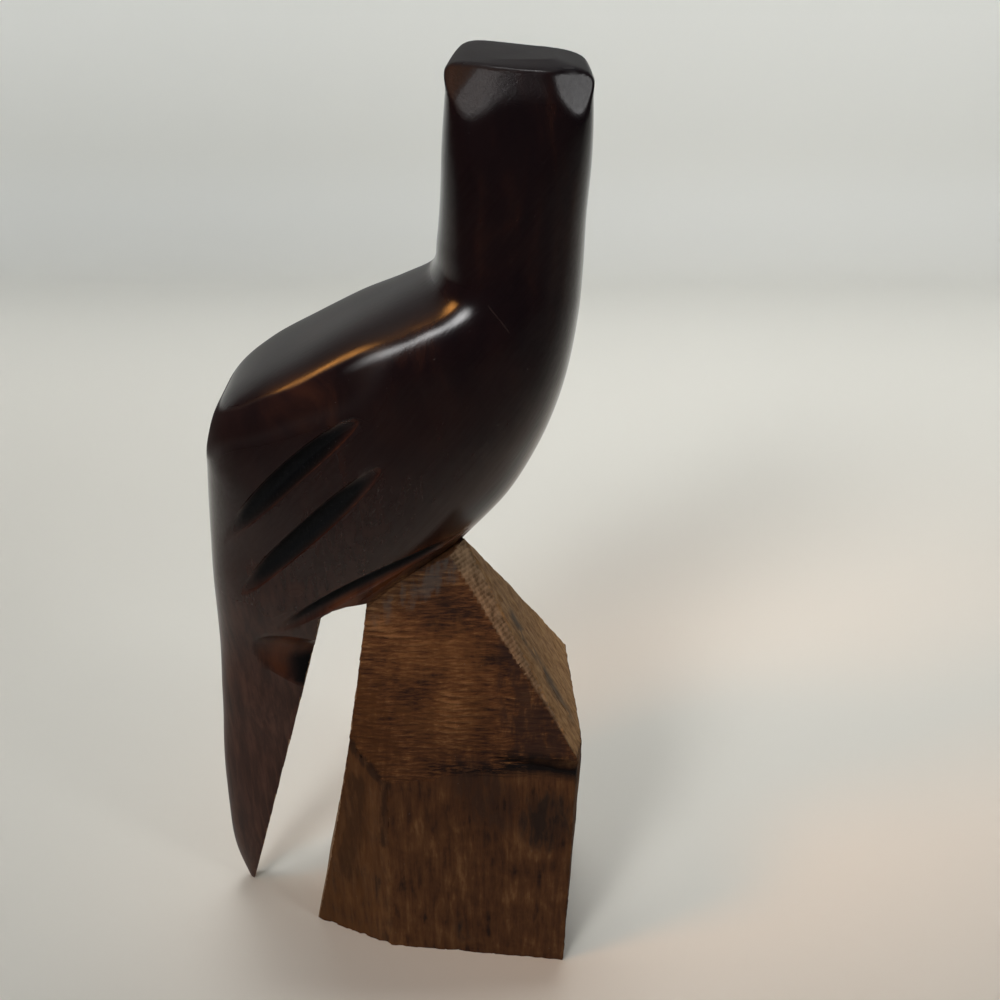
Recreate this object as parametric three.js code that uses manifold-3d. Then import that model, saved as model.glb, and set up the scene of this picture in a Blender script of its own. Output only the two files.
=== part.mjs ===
// A perched eagle, sawn and rasped with its rough plinth from one block of dense dark desert wood.
// The bird is sanded and polished. The plinth keeps its saw and rasp faces.
// Millimetres, +Z up. The breast faces +X, and the head is turned to look along +Y.
// The origin is the centre of the plinth's underside, which stands on the table.

import * as THREE from "three";
import { ConvexGeometry } from "three/addons/geometries/ConvexGeometry.js";
import { LoftGeometry } from "three/addons/geometries/LoftGeometry.js";
import { mergeVertices } from "three/addons/utils/BufferGeometryUtils.js";
import Module from "manifold-3d";

const wasm = await Module();
wasm.setup();

// The bird, from the table under its tail to its flat crown. Its pose, proportions and carving are
// hundredths of this height.
const FIGURE_HEIGHT = 180;

// The plinth is an uneven block under the bird's legs, and narrows above its shoulder.
const PLINTH_LENGTH = 54;
const PLINTH_DEPTH = 49;
const SHOULDER_HEIGHT = 56;

// The saw slot that parts the tail from the plinth, wider at the foot. The saw wandered a little.
const SLOT_FOOT_WIDTH = 16.5;
const SLOT_HEAD_WIDTH = 10.8;
const SLOT_WANDER = 0.9;

// The round file that cuts the wing feathers and the eyes, and how deep it goes. A gouge cuts the nick.
// A tool comes in lifted clear of the surface, and leaves it so.
const FILE_RADIUS = 2.5;
const FEATHER_DEPTH = 1.5;
const UNDERCUT_DEPTH = 1.2;
const EYE_HOLLOW_DEPTH = 1.3;
const EYE_RADIUS = 1.8;
const GOUGE_RADIUS = 9;
const NICK_DEPTH = 3.4;
const TOOL_LIFT = 0.4;

// Facets round a section of the bird and of the beak, and rings of them from one station to the next.
const AROUND = 36;
const BEAK_AROUND = 16;
const RINGS = 3;

const share = (hundredths) => (hundredths * FIGURE_HEIGHT) / 100;

// The slot's tail side starts at the foot of the tail, and its plinth side at the foot of the plinth.
const TAIL_FOOT = -31.7;
const figureX = -PLINTH_LENGTH / 2 - SLOT_FOOT_WIDTH - share(TAIL_FOOT);

// A point of the bird's own frame, in hundredths of its height.
const onBird = (x, y, z) => new THREE.Vector3(figureX + share(x), share(y), share(z));

// Closed geometry to a solid, and a solid back to geometry.
function solid(closed) {
  const bare = new THREE.BufferGeometry();
  bare.setAttribute("position", closed.attributes.position);
  bare.setIndex(closed.index);
  const merged = mergeVertices(bare, 1e-4);
  return new wasm.Manifold(
    new wasm.Mesh({
      numProp: 3,
      vertProperties: merged.attributes.position.array,
      triVerts: new Uint32Array(merged.index.array),
    }),
  );
}

function geometryOf(body) {
  const mesh = body.getMesh();
  const geometry = new THREE.BufferGeometry();
  geometry.setAttribute("position", new THREE.BufferAttribute(mesh.vertProperties, 3));
  geometry.setIndex(new THREE.BufferAttribute(mesh.triVerts, 1));
  geometry.computeVertexNormals();
  return geometry;
}

// A form is carved between two lines, an outer and an inner one. Each station gives a point on both,
// half the width across, and how square the section is at the outer and at the inner line. Where it
// is skewed, the far end of its outer side is moved by that much. All but the squareness are
// hundredths of the figure's height. place puts a point on the bird.
function carve(stations, around, place) {
  const curve = (read) => new THREE.SplineCurve(stations.map((s) => new THREE.Vector2(...read(s))));
  const outerLine = curve((s) => s.outer);
  const innerLine = curve((s) => s.inner);
  const widthLine = curve((s) => [s.half, 0]);
  const skewLine = curve((s) => s.skew ?? [0, 0]);
  const squareLine = curve((s) => s.square);
  const rounded = (value, power) => Math.sign(value) * Math.abs(value) ** power;
  const rings = RINGS * (stations.length - 1);
  const sections = Array.from({ length: rings + 1 }, (_, i) => {
    const outer = outerLine.getPoint(i / rings);
    const inner = innerLine.getPoint(i / rings);
    const half = widthLine.getPoint(i / rings).x;
    const skew = skewLine.getPoint(i / rings);
    const square = squareLine.getPoint(i / rings);
    return Array.from({ length: around }, (_, j) => {
      const turn = (j / around) * 2 * Math.PI;
      const power = 2 / (Math.cos(turn) < 0 ? square.x : square.y);
      const inward = (1 + rounded(Math.cos(turn), power)) / 2;
      const across = rounded(Math.sin(turn), power);
      const point = outer.clone().lerp(inner, inward);
      point.addScaledVector(skew, ((1 - across) / 2) * (1 - inward));
      return place(point.x, half * across, point.y);
    });
  });
  return solid(new LoftGeometry(sections, { capStart: true, capEnd: true }));
}

// The bird's outer line is its back and the inner one its breast, belly and the inside of the tail.
const birdStations = {
  crown: { outer: [-1.0, 100.7], inner: [5.0, 100.7], half: 4.0, square: [6, 6], skew: [0.6, 0.3] },
  crownRim: { outer: [-4.9, 100.2], inner: [8.0, 99.6], half: 6.8, square: [7, 7], skew: [1.5, 0.7] },
  brow: { outer: [-5.2, 97.8], inner: [8.3, 97.2], half: 7.3, square: [5, 6], skew: [0.9, 0.2] },
  cheek: { outer: [-5.4, 93.3], inner: [8.4, 92.2], half: 7.8, square: [4, 4] },
  upperNeck: { outer: [-5.7, 88.3], inner: [8.1, 86.7], half: 8.1, square: [3.2, 3.4] },
  neck: { outer: [-6.1, 84.2], inner: [8.0, 81.4], half: 8.5, square: [2.7, 3] },
  nape: { outer: [-6.8, 81.0], inner: [7.7, 77.1], half: 9.0, square: [2.4, 2.8] },
  mantle: { outer: [-10.3, 78.9], inner: [6.8, 71.3], half: 9.7, square: [3.0, 2.6] },
  upperBack: { outer: [-15.0, 76.7], inner: [5.4, 66.3], half: 10.3, square: [3.8, 2.4] },
  back: { outer: [-20.0, 74.0], inner: [3.7, 62.0], half: 10.7, square: [4.4, 2.2] },
  shoulder: { outer: [-24.5, 71.5], inner: [1.5, 58.1], half: 10.8, square: [4.6, 2.2] },
  wing: { outer: [-28.0, 68.5], inner: [-0.9, 55.0], half: 10.7, square: [4.4, 2.2] },
  flank: { outer: [-29.6, 64.7], inner: [-4.0, 51.6], half: 10.3, square: [4.0, 2.2] },
  belly: { outer: [-30.2, 61.1], inner: [-7.0, 48.8], half: 9.7, square: [3.4, 2.2] },
  rump: { outer: [-30.9, 55.1], inner: [-10.0, 45.6], half: 8.7, square: [2.8, 2.2] },
  tailRoot: { outer: [-31.4, 47.8], inner: [-13.3, 41.7], half: 7.4, square: [2.8, 2.4] },
  upperTail: { outer: [-31.8, 38.9], inner: [-16.4, 36.7], half: 5.3, square: [2.8, 2.6] },
  tail: { outer: [-32.5, 30.0], inner: [-18.9, 28.9], half: 3.9, square: [2.8, 2.6] },
  lowerTail: { outer: [-33.2, 22.2], inner: [-21.4, 21.4], half: 2.9, square: [2.8, 2.8] },
  blade: { outer: [-33.6, 13.9], inner: [-23.9, 13.3], half: 2.5, square: [2.6, 2.6] },
  point: { outer: [-33.5, 6.7], inner: [-26.4, 6.4], half: 1.9, square: [2.4, 2.4] },
  tip: { outer: [-32.2, 0.4], inner: [-28.9, 0.4], half: 0.8, square: [2, 2] },
};

function makeBird() {
  return carve(Object.values(birdStations), AROUND, (x, across, z) => onBird(x, -across, z));
}

// The hooked beak, on the far side of the head. Its lines run out along +Y and turn down.
const BEAK_CENTRE = 1.8;
const beakStations = {
  root: { outer: [4.0, 97.6], inner: [4.0, 90.2], half: 3.6, square: [2.4, 2.4] },
  cere: { outer: [8.2, 97.6], inner: [8.0, 90.4], half: 3.1, square: [2.2, 2.4] },
  culmen: { outer: [10.6, 96.8], inner: [9.4, 91.0], half: 2.3, square: [2, 2.4] },
  bend: { outer: [12.4, 95.0], inner: [10.4, 91.4], half: 1.6, square: [2, 2.2] },
  hook: { outer: [13.1, 92.4], inner: [11.4, 90.8], half: 1.0, square: [2, 2] },
  tip: { outer: [12.8, 89.4], inner: [12.3, 89.5], half: 0.35, square: [2, 2] },
};

function makeBeak() {
  const stations = Object.values(beakStations);
  return carve(stations, BEAK_AROUND, (y, across, z) => onBird(BEAK_CENTRE - across, y, z));
}

// The plinth's corners. Up to the shoulder they are shares of its half length, half depth and
// shoulder height, and above it they run up into the bird.
function makePlinth() {
  const corner = (fore, side, up) =>
    new THREE.Vector3((fore * PLINTH_LENGTH) / 2, (side * PLINTH_DEPTH) / 2, up * SHOULDER_HEIGHT);
  const foot = [
    corner(1.0, -0.99, 0),
    corner(-0.39, -0.82, 0),
    corner(-1.07, -0.48, 0),
    corner(-1.07, 0.53, 0),
    corner(-0.39, 0.86, 0),
    corner(0.72, 0.94, 0),
    corner(1.02, 0.57, 0),
  ];
  const shoulder = [
    corner(1.05, -1.02, 1.0),
    corner(-0.33, -0.86, 0.82),
    corner(-0.65, -0.71, 0.99),
    corner(-0.65, 0.65, 0.96),
    corner(-0.39, 0.9, 0.86),
    corner(0.72, 0.98, 0.96),
    corner(1.04, 0.61, 0.98),
    corner(1.11, -0.68, 0.96),
  ];
  const top = [
    onBird(-5.2, -6.1, 51.9),
    onBird(-15.5, -6.1, 45.9),
    onBird(-3.8, -4.3, 52.8),
    onBird(-6.7, 4.4, 50.0),
    onBird(-15.5, 5.6, 46.1),
  ];
  return solid(new ConvexGeometry([...foot, ...shoulder, ...top]));
}

// The slot is sawn right through from front to back. Its tail side is straight, it ends under the
// belly in a low arch with a sharp corner, and its plinth side is where the saw wandered.
function makeSlot() {
  const tailFoot = onBird(TAIL_FOOT, 0, 0);
  const tailHead = onBird(-20.2, 0, 40.7);
  const arch = [onBird(-19.4, 0, 44.6), onBird(-17.9, 0, 45.7), onBird(-16.3, 0, 46.2)];
  const plinthHead = onBird(0, 0, 46.2).setX(tailHead.x + SLOT_HEAD_WIDTH);
  const plinthFoot = new THREE.Vector3(-PLINTH_LENGTH / 2, 0, 0);
  const plinthSide = [0.2, 0.4, 0.6, 0.8].map((down) => {
    const point = plinthHead.clone().lerp(plinthFoot, down);
    return point.setX(point.x + SLOT_WANDER * Math.sin(down * Math.PI));
  });
  const below = (point) => point.clone().setZ(-SLOT_FOOT_WIDTH);
  const outline = [
    below(tailFoot),
    tailFoot,
    tailHead,
    ...arch,
    plinthHead,
    ...plinthSide,
    plinthFoot,
    below(plinthFoot),
  ];
  const shape = new THREE.Shape(outline.map((point) => new THREE.Vector2(point.x, point.z)));
  const depth = 1.5 * PLINTH_DEPTH;
  const geometry = new THREE.ExtrudeGeometry(shape, { depth, bevelEnabled: false });
  geometry.rotateX(Math.PI / 2);
  geometry.translate(0, depth / 2, 0);
  return solid(geometry);
}

// Where a tool that is pressed in along side first meets the surface, in line with a point.
function touch(surface, point, side) {
  const start = point.clone().addScaledVector(side, -FIGURE_HEIGHT);
  return new THREE.Raycaster(start, side).intersectObject(surface)[0];
}

// A stroke of a round tool from one point to another, bowed upwards by bow, and pressed in square to
// the surface. A whole stroke is deepest near its middle and comes to a point at both ends, and a
// half one runs out over an edge while it is deepest.
function roundStroke(surface, { from, to, radius, depth, bow = 0, whole = 1 }, side) {
  const steps = 10;
  const hits = Array.from({ length: steps + 1 }, (_, i) => {
    const along = i / steps;
    const point = from.clone().lerp(to, along);
    point.z += share(bow) * 4 * along * (1 - along);
    return touch(surface, point, side);
  });
  const pressed = hits.reduce((sum, hit) => sum.sub(hit.face.normal), new THREE.Vector3()).normalize();
  const centres = hits.map((hit, i) => {
    const sunk = (depth + TOOL_LIFT) * Math.sin((Math.PI * whole * i) / steps) - TOOL_LIFT;
    return hit.point.clone().addScaledVector(pressed, sunk - radius);
  });
  const section = new THREE.Shape().absarc(0, 0, radius, 0, 2 * Math.PI);
  const extrudePath = new THREE.CatmullRomCurve3(centres);
  return solid(new THREE.ExtrudeGeometry(section, { steps, curveSegments: 8, extrudePath }));
}

// Two feathers on each wing, and an undercut where the belly meets the plinth.
const fileStrokes = {
  upperFeather: { from: [-29.0, 53.8], to: [-12.2, 70.2], bow: 1.2, depth: FEATHER_DEPTH },
  lowerFeather: { from: [-28.6, 46.4], to: [-10.2, 65.6], bow: 0.4, depth: FEATHER_DEPTH },
  undercut: { from: [-25.6, 42.0], to: [-3.0, 54.5], bow: 1.2, depth: UNDERCUT_DEPTH },
};

// The gouge cuts a nick beside the slot, and runs out into it.
const nick = { from: [-27.4, 40.4], to: [-19.0, 36.6], depth: NICK_DEPTH, whole: 0.5 };

// On each side of the head a file stroke sinks the eye under its brow, and the eyeball is left in it.
// It lies toward the face, a little above the cheek.
const eye = { reach: 3.4, rise: 1.1, halfLength: 3.2 };

function cutDetails(blank) {
  const surface = new THREE.Mesh(geometryOf(blank), new THREE.MeshBasicMaterial());
  let carved = blank;
  for (const facing of [-1, 1]) {
    const across = new THREE.Vector3(0, -facing, 0);
    for (const stroke of [...Object.values(fileStrokes), nick]) {
      const from = onBird(stroke.from[0], 0, stroke.from[1]);
      const to = onBird(stroke.to[0], 0, stroke.to[1]);
      const radius = stroke === nick ? GOUGE_RADIUS : FILE_RADIUS;
      carved = carved.subtract(roundStroke(surface, { ...stroke, from, to, radius }, across));
    }

    const along = new THREE.Vector3(-facing, 0, 0);
    const height = birdStations.cheek.outer[1] + eye.rise;
    const [from, to] = [-1, 1].map((end) => onBird(0, eye.reach + end * eye.halfLength, height));
    const hollow = { from, to, radius: FILE_RADIUS, depth: EYE_HOLLOW_DEPTH };
    carved = carved.subtract(roundStroke(surface, hollow, along));
    const lid = touch(surface, onBird(0, eye.reach, height), along).point;
    const centre = lid.clone().addScaledVector(along, EYE_RADIUS);
    const ball = new THREE.SphereGeometry(EYE_RADIUS, 12, 8);
    carved = carved.add(solid(ball.translate(centre.x, centre.y, centre.z)));
  }
  return carved;
}

const blank = makeBird().add(makeBeak()).add(makePlinth());
const body = cutDetails(blank).subtract(makeSlot());

const wood = new THREE.MeshStandardMaterial({ color: 0x2a1512, roughness: 0.35, metalness: 0 });
const carving = new THREE.Mesh(geometryOf(body), wood);
carving.name = "eagle_carving";

const group = new THREE.Group();
group.add(carving);

export default group;
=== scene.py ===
import math
import random

import bmesh
import bpy
import numpy as np
from mathutils import Matrix, Vector, noise
from mathutils.bvhtree import BVHTree


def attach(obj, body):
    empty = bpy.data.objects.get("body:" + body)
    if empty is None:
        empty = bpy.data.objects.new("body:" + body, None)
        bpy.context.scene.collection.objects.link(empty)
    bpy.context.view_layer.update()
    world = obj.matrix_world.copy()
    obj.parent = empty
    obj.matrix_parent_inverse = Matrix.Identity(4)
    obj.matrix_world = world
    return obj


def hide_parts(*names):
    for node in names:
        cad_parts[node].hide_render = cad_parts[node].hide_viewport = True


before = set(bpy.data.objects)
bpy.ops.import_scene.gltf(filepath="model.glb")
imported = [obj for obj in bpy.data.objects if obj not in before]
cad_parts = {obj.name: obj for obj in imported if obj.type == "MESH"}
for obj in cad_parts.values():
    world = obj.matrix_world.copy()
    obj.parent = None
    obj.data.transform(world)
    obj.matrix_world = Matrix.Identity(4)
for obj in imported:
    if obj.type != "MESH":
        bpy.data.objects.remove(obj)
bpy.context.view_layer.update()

# The bird
# A perched eagle of dense dark desert wood, roughed out with a saw and a rasp, then sanded and polished.
# Its pose and proportions are hundredths of the figure's height. Metres, +Z up, breast towards +X.

FIGURE_HEIGHT = 0.180
PLINTH_LENGTH = 0.054
PLINTH_DEPTH = 0.049
SHOULDER_HEIGHT = 0.056
SLOT_FOOT_WIDTH = 0.0165
SLOT_HEAD_WIDTH = 0.0108
TAIL_FOOT = -31.7
MM = 0.001

figure_x = -PLINTH_LENGTH / 2 - SLOT_FOOT_WIDTH - TAIL_FOOT / 100 * FIGURE_HEIGHT


def on_bird(x, y, z):
    """A point of the bird's own frame, in hundredths of its height, in metres."""
    return Vector((figure_x + x / 100 * FIGURE_HEIGHT, y / 100 * FIGURE_HEIGHT, z / 100 * FIGURE_HEIGHT))


def spline(points, where):
    """Points of the smooth curve through points, at shares of its length from 0 to 1."""
    points = np.asarray(points, float)
    last = len(points) - 1
    place = np.asarray(where, float) * last
    first = np.minimum(place.astype(int), last - 1)
    step = (place - first)[:, None]
    before, start, end, after = (points[np.clip(first + k, 0, last)] for k in (-1, 0, 1, 2))
    leave, arrive = (end - before) / 2, (after - start) / 2
    cubic = 2 * start - 2 * end + leave + arrive
    square = -3 * start + 3 * end - 2 * leave - arrive
    return cubic * step**3 + square * step**2 + leave * step + start


def skin(rings, end_loops=0):
    """A closed bmesh over rings of points, each ring closed. The ends close on their middle."""
    count, around = len(rings), len(rings[0])
    bm = bmesh.new()
    bmesh.ops.create_grid(bm, x_segments=around, y_segments=count - 1, size=0.5)
    for vert in bm.verts:
        ring = round((vert.co.y + 0.5) * (count - 1))
        turn = round((vert.co.x + 0.5) * around) % around
        vert.co = rings[ring][turn]
    bmesh.ops.remove_doubles(bm, verts=bm.verts, dist=1e-7)
    for ring in (rings[0], rings[-1]):
        centre = Vector(np.mean(ring, axis=0))
        edges = [e for e in bm.edges if e.is_boundary]
        loop = loop_of(min(edges, key=lambda e: (e.verts[0].co - Vector(ring[0])).length))
        for step in range(end_loops):
            made = bmesh.ops.extrude_edge_only(bm, edges=loop)["geom"]
            loop = [g for g in made if isinstance(g, bmesh.types.BMEdge)]
            verts = [g for g in made if isinstance(g, bmesh.types.BMVert)]
            shrink = (end_loops - step) / (end_loops - step + 1)
            bmesh.ops.scale(bm, vec=(shrink,) * 3, space=Matrix.Translation(-centre), verts=verts)
            loop = [e for e in loop if e.is_boundary]
        bmesh.ops.holes_fill(bm, edges=loop, sides=0)
    bmesh.ops.recalc_face_normals(bm, faces=bm.faces)
    return bm


def loop_of(edge):
    """The open edges that follow on from one open edge, all round."""
    loop, todo = {edge}, [edge]
    while todo:
        for vert in todo.pop().verts:
            for other in vert.link_edges:
                if other.is_boundary and other not in loop:
                    loop.add(other)
                    todo.append(other)
    return list(loop)


RING_SAMPLES = 1441
BEND_SHARE = 0.5


def carve(stations, around, rings_each, place):
    """Rings between an outer and an inner line, as wide and as square as the stations say."""
    rows = list(stations.values())
    count = rings_each * (len(rows) - 1) + 1
    where = np.linspace(0, 1, count)
    outer, inner, half, square = (spline([np.atleast_1d(row[key]) for row in rows], where)
                                  for key in ("outer", "inner", "half", "square"))
    skew = spline([row.get("skew", (0, 0)) for row in rows], where)
    turns = np.linspace(0, 2 * np.pi, RING_SAMPLES)
    cos, sin = np.cos(turns), np.sin(turns)
    rings = []
    for ring in range(count):
        power = np.where(cos < 0, 2 / square[ring][0], 2 / square[ring][1])
        inward = (1 + np.sign(cos) * np.abs(cos) ** power) / 2
        across = np.sign(sin) * np.abs(sin) ** power
        line = outer[ring] + inward[:, None] * (inner[ring] - outer[ring])
        line = line + ((1 - across) / 2 * (1 - inward))[:, None] * skew[ring]
        points = np.column_stack([line[:, 0], half[ring][0] * across, line[:, 1]])
        steps = np.diff(points, axis=0)
        lengths = np.linalg.norm(steps, axis=1)
        lengths[lengths < 1e-9] = 1e-9
        inwards = np.hypot(steps[:, 0], steps[:, 2]) * np.sign(steps[:, 0])
        heading = np.unwrap(np.arctan2(steps[:, 1], inwards))
        bend = np.abs(np.diff(heading, append=heading[-1:]))
        weight = lengths / lengths.sum() + BEND_SHARE * bend / max(bend.sum(), 1e-9)
        travelled = np.concatenate([[0], np.cumsum(weight)])
        order = np.arange(len(turns))
        even = np.interp(np.arange(around) / around * travelled[-1], travelled, order)
        ring_points = np.column_stack([np.interp(even, order, points[:, k]) for k in range(3)])
        rings.append([place(*p) for p in ring_points])
    return rings


bird_stations = {
    "crown": dict(outer=(-1.0, 100.7), inner=(5.0, 100.7), half=4.0, square=(6, 6), skew=(0.6, 0.3)),
    "crown_rim": dict(outer=(-4.9, 100.2), inner=(8.0, 99.6), half=6.8, square=(7, 7), skew=(1.5, 0.7)),
    "brow": dict(outer=(-5.2, 97.8), inner=(8.3, 97.2), half=7.3, square=(5, 6), skew=(0.9, 0.2)),
    "cheek": dict(outer=(-5.4, 93.3), inner=(8.4, 92.2), half=7.8, square=(4, 4)),
    "upper_neck": dict(outer=(-5.7, 88.3), inner=(8.1, 86.7), half=8.1, square=(3.2, 3.4)),
    "neck": dict(outer=(-6.1, 84.2), inner=(8.0, 81.4), half=8.5, square=(2.7, 3)),
    "nape": dict(outer=(-6.8, 81.0), inner=(7.7, 77.1), half=9.0, square=(2.4, 2.8)),
    "mantle": dict(outer=(-10.3, 78.9), inner=(6.8, 71.3), half=9.7, square=(3.0, 2.6)),
    "upper_back": dict(outer=(-15.0, 76.7), inner=(5.4, 66.3), half=10.3, square=(3.8, 2.4)),
    "back": dict(outer=(-20.0, 74.0), inner=(3.7, 62.0), half=10.7, square=(4.4, 2.2)),
    "shoulder": dict(outer=(-24.5, 71.5), inner=(1.5, 58.1), half=10.8, square=(4.6, 2.2)),
    "wing": dict(outer=(-28.0, 68.5), inner=(-0.9, 55.0), half=10.7, square=(4.4, 2.2)),
    "flank": dict(outer=(-29.6, 64.7), inner=(-4.0, 51.6), half=10.3, square=(4.0, 2.2)),
    "belly": dict(outer=(-30.2, 61.1), inner=(-7.0, 48.8), half=9.7, square=(3.4, 2.2)),
    "rump": dict(outer=(-30.9, 55.1), inner=(-10.0, 45.6), half=8.7, square=(2.8, 2.2)),
    "tail_root": dict(outer=(-31.4, 47.8), inner=(-13.3, 41.7), half=7.4, square=(2.8, 2.4)),
    "upper_tail": dict(outer=(-31.8, 38.9), inner=(-16.4, 36.7), half=5.3, square=(2.8, 2.6)),
    "tail": dict(outer=(-32.5, 30.0), inner=(-18.9, 28.9), half=3.9, square=(2.8, 2.6)),
    "lower_tail": dict(outer=(-33.2, 22.2), inner=(-21.4, 21.4), half=2.9, square=(2.8, 2.8)),
    "blade": dict(outer=(-33.6, 13.9), inner=(-23.9, 13.3), half=2.5, square=(2.6, 2.6)),
    "point": dict(outer=(-33.5, 6.7), inner=(-26.4, 6.4), half=1.9, square=(2.4, 2.4)),
    "tip": dict(outer=(-32.2, 0.4), inner=(-28.9, 0.4), half=0.8, square=(2, 2)),
}
BIRD_AROUND = 144
BIRD_RINGS = 9
BIRD_END_LOOPS = 8
bird_rings = carve(bird_stations, BIRD_AROUND, BIRD_RINGS, lambda x, across, z: on_bird(x, -across, z))
bird = skin(bird_rings, BIRD_END_LOOPS)


def sand_flat(bm, point, normal, soft):
    """Rubs down what stands past a plane. The flat's edge is rounded over the distance soft."""
    normal = Vector(normal).normalized()
    for vert in bm.verts:
        past = (vert.co - point).dot(normal)
        if past > -soft:
            share_past = min(1, (past + soft) / (2 * soft))
            vert.co -= normal * max(past, soft * share_past**2)


# Flats that the sander left on the head. dull is how much of the shine each has lost.
head_flats = [
    dict(point=(2.3, -7.15, 98.1), normal=(-0.02, -0.95, 0.32), soft=0.35 * MM, dull=0.5),
    dict(point=(-1.5, -7.1, 97.3), normal=(-0.20, -0.90, 0.38), soft=0.55 * MM, dull=0.9),
    dict(point=(-3.2, -6.35, 98.5), normal=(-0.40, -0.77, 0.50), soft=0.2 * MM, dull=1),
    dict(point=(6.9, -6.3, 97.9), normal=(0.36, -0.85, 0.38), soft=0.3 * MM, dull=0.4),
]
for flat in head_flats:
    sand_flat(bird, on_bird(*flat["point"]), flat["normal"], flat["soft"])

HAND_WAVE = 14 * MM
HAND_DEPTH = 0.16 * MM
for vert in bird.verts:
    vert.co += vert.normal * HAND_DEPTH * noise.noise(vert.co / HAND_WAVE)

# The beak
# A hooked beak on the far side of the head, left standing when the head was roughed out.
# Its lines run out along +Y and turn down.

BEAK_CENTRE = 1.8
beak_stations = {
    "root": dict(outer=(4.0, 97.6), inner=(4.0, 90.2), half=3.6, square=(2.4, 2.4)),
    "cere": dict(outer=(8.2, 97.6), inner=(8.0, 90.4), half=3.1, square=(2.2, 2.4)),
    "culmen": dict(outer=(10.6, 96.8), inner=(9.4, 91.0), half=2.3, square=(2, 2.4)),
    "bend": dict(outer=(12.4, 95.0), inner=(10.4, 91.4), half=1.6, square=(2, 2.2)),
    "hook": dict(outer=(13.1, 92.4), inner=(11.4, 90.8), half=1.0, square=(2, 2)),
    "tip": dict(outer=(12.8, 89.4), inner=(12.3, 89.5), half=0.35, square=(2, 2)),
}
BEAK_AROUND = 56
BEAK_RINGS = 8
beak_rings = carve(beak_stations, BEAK_AROUND, BEAK_RINGS,
                   lambda y, across, z: on_bird(BEAK_CENTRE - across, y, z))
beak = skin(beak_rings)

# The plinth
# An uneven block left under the bird's legs, of the same wood. Its faces are left as the saw and the
# rasp made them, with a drying check, worn corners and chips along the foot.


def corner(fore, side, up):
    return Vector((fore * PLINTH_LENGTH / 2, side * PLINTH_DEPTH / 2, up * SHOULDER_HEIGHT))


plinth_corners = [
    corner(1.0, -0.99, 0), corner(-0.39, -0.82, 0), corner(-1.07, -0.48, 0), corner(-1.07, 0.53, 0),
    corner(-0.39, 0.86, 0), corner(0.72, 0.94, 0), corner(1.02, 0.57, 0),
    corner(1.05, -1.02, 1.0), corner(-0.33, -0.86, 0.82), corner(-0.65, -0.71, 0.99),
    corner(-0.65, 0.65, 0.96), corner(-0.39, 0.9, 0.86), corner(0.72, 0.98, 0.96),
    corner(1.04, 0.61, 0.98), corner(1.11, -0.68, 0.96),
    on_bird(-5.2, -6.1, 51.9), on_bird(-15.5, -6.1, 45.9), on_bird(-3.8, -4.3, 52.8),
    on_bird(-6.7, 4.4, 50.0), on_bird(-15.5, 5.6, 46.1),
]
plinth = bmesh.new()
for point in plinth_corners:
    plinth.verts.new(point)
bmesh.ops.convex_hull(plinth, input=plinth.verts)
bmesh.ops.dissolve_limit(plinth, angle_limit=0.02, verts=plinth.verts, edges=plinth.edges)
facet_layer = plinth.faces.layers.int.new("facet")
facets = []
for index, face in enumerate(plinth.faces):
    face[facet_layer] = index
    facets.append((face.normal.copy(), face.calc_center_median()))


def slice_up(bm, index, normal, spacing):
    """Cuts one facet into rows that are spacing apart across normal."""
    faces = [f for f in bm.faces if f[facet_layer] == index]
    verts = {v for f in faces for v in f.verts}
    places = [v.co.dot(normal) for v in verts]
    geom = faces + list({e for f in faces for e in f.edges}) + list(verts)
    place = math.ceil(min(places) / spacing + 0.3) * spacing
    while place < max(places) - 0.3 * spacing:
        cut = bmesh.ops.bisect_plane(bm, geom=geom, dist=1e-6, plane_co=normal * place, plane_no=normal)
        geom = cut["geom"]
        place += spacing


FINE_ROW = 0.3 * MM
MIDDLE_ROW = 0.8 * MM
COARSE_ROW = 1.5 * MM
strip_line = (corner(1.05, -1.02, 1.0) - on_bird(-5.2, -6.1, 51.9)).normalized()


def kind_of(normal):
    """Which of the plinth's faces this is: a rasped one, the filed strip, another that shows, or not."""
    if normal.y < -0.9 and normal.z > 0.1:
        return "rasped"
    if normal.y < -0.5 and normal.z > 0.4:
        return "strip"
    if abs(normal.z) > 0.95:
        return "flat"
    return "split" if normal.y < -0.3 or normal.x > 0.4 else "back"


for index, (normal, centre) in enumerate(facets):
    up = Vector((0, 0, 1)) - normal * normal.z
    if up.length < 0.1:
        up = Vector((0, 1, 0))
    up.normalize()
    rows, columns = {"rasped": (FINE_ROW, MIDDLE_ROW), "strip": (FINE_ROW, MIDDLE_ROW),
                     "split": (MIDDLE_ROW, MIDDLE_ROW)}.get(kind_of(normal), (COARSE_ROW, COARSE_ROW))
    if kind_of(normal) == "strip":
        up = strip_line - normal * strip_line.dot(normal)
        up.normalize()
    slice_up(plinth, index, up, rows)
    slice_up(plinth, index, normal.cross(up).normalized(), columns)
bmesh.ops.recalc_face_normals(plinth, faces=plinth.faces)
bmesh.ops.triangulate(plinth, faces=plinth.faces)

RASP_PITCH = 1.25 * MM
RASP_DEPTH = 0.13 * MM
FILE_PITCH = 0.9 * MM
FILE_DEPTH = 0.06 * MM
SPLIT_DEPTH = 0.28 * MM
EDGE_WEAR = 0.45 * MM


def ripple(place, pitch):
    return math.cos(2 * math.pi * place / pitch)


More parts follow.
